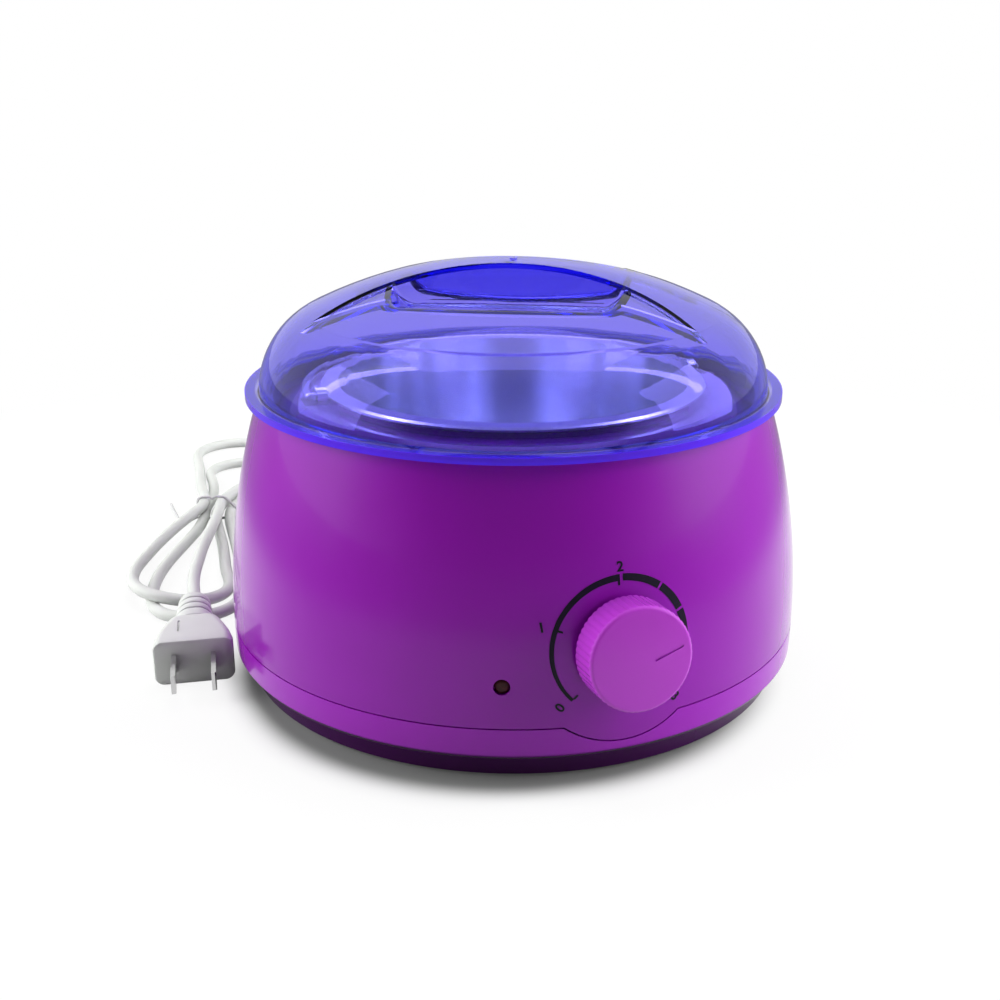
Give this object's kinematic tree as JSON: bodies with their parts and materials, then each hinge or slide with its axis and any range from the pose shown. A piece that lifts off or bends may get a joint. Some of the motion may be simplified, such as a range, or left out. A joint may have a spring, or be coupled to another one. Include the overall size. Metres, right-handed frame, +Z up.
{
  "type": "wax warmer",
  "caption": "Round table-top wax warmer with a bulged casing, heated well, lift-out pot with folding bail, see-through dome lid, thermostat knob and tied mains cord.",
  "frame": {"origin": "on the surface it stands on, below the centre of the pot", "axes": "+Z up; the thermostat knob faces -Y and the cord leaves towards +Y; the bail's pivots lie along X"},
  "size_m": [0.219, 0.3737, 0.1351],
  "materials": {
    "casing": "gloss",
    "tray": "gloss",
    "lid_blue": "gloss",
    "knob": "gloss",
    "aluminium": "satin",
    "steel": "satin",
    "brass": "satin",
    "copper": "satin",
    "mica": "matte",
    "dark_plastic": "matte",
    "fuse_sleeve": "matte",
    "lens_red": "gloss",
    "lamp_glass": "gloss",
    "rubber": "matte",
    "lead_sleeve": "matte",
    "cord_grey": "satin",
    "tie_grey": "satin",
    "plug_grey": "satin",
    "plug_blades": "satin"
  },
  "bodies": {
    "housing": {"band_strap": "steel", "base_screws": "steel", "base_tray": "tray", "clamp_screws": "steel", "cord_clamp": "cord_grey", "cord_hank": "cord_grey", "cord_tie": "tie_grey", "fuse_clip": "steel", "heat_reflector": "aluminium", "heater_band": "mica", "heater_terminals": "brass", "heating_well": "aluminium", "indicator_lamp": "lamp_glass", "indicator_lens": "lens_red", "inner_cord": "cord_grey", "lamp_clip": "steel", "plug_blades": "plug_blades", "plug_body": "plug_grey", "plug_lead": "cord_grey", "power_cord": "cord_grey", "probe_clip": "steel", "reflector_screws": "steel", "rubber_feet": "rubber", "strain_relief": "cord_grey", "strap_bolt": "steel", "terminal_block": "dark_plastic", "terminal_screws": "steel", "thermal_fuse": "fuse_sleeve", "thermostat_body": "dark_plastic", "thermostat_bush": "brass", "thermostat_nut": "brass", "thermostat_probe": "copper", "thermostat_terminals": "brass", "upper_casing": "casing", "well_screws": "steel", "wiring": "lead_sleeve"},
    "pot": {"wax_pot": "aluminium"},
    "bail": {"bail_handle": "steel"},
    "lid": {"lid": "lid_blue"},
    "knob": {"control_knob": "knob", "thermostat_shaft": "steel"}
  },
  "joints": [
    {"name": "pot_lift", "type": "slide", "parent": "housing", "child": "pot", "axis": [0, 0, 1], "range_m": [0, 0.1]},
    {"name": "lid_lift", "type": "slide", "parent": "pot", "child": "lid", "axis": [0, 0, 1], "range_m": [0, 0.08]},
    {"name": "bail_swing", "type": "hinge", "parent": "pot", "child": "bail", "pos_m": [0, 0, 0.095], "axis": [1, 0, 0], "range_deg": [0, 15]},
    {"name": "knob_turn", "type": "hinge", "parent": "housing", "child": "knob", "pos_m": [0, -0.0939, 0.0412], "axis": [0, -0.9953, 0.0967], "range_deg": [-72, 197]}
  ]
}
